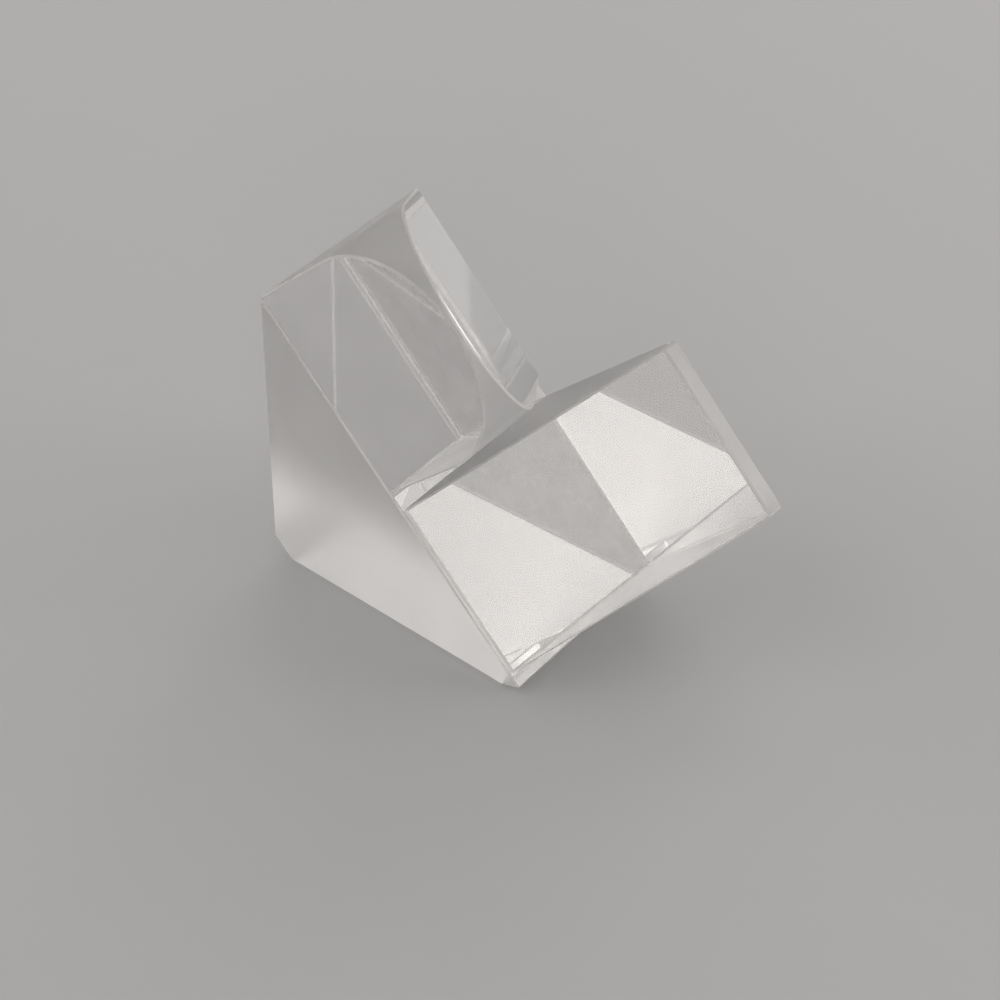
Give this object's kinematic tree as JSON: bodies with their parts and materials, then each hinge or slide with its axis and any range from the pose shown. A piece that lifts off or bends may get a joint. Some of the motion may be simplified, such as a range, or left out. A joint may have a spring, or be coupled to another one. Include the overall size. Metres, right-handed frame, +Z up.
{
  "type": "right angle prism cluster",
  "caption": "Cemented cluster of right angle prisms that turns an image upright, with a round-topped entrance prism, ground side faces and ground edge flats.",
  "frame": {"origin": "on the face that the cluster stands on, at the middle of the base prism's leg and of its depth", "axes": "+Z up, square to the standing leg face; +X along that leg, towards the lower end of the sloping face; -Y out of the entrance face and +Y out of the exit face"},
  "size_m": [0.0406, 0.02, 0.0393],
  "materials": {
    "base_glass": "clear optical crown glass, polished on its leg faces and its slope, fine ground on its triangular sides and edge flats",
    "entrance_glass": "clear optical crown glass, polished on its leg and hypotenuse faces, fine ground round its curved edge",
    "exit_glass": "clear optical crown glass, polished on its leg and hypotenuse faces, fine ground on its triangular ends and edge flat"
  },
  "bodies": {
    "root": {"base_prism": "base_glass", "entrance_prism": "entrance_glass", "exit_prism": "exit_glass"}
  },
  "joints": []
}
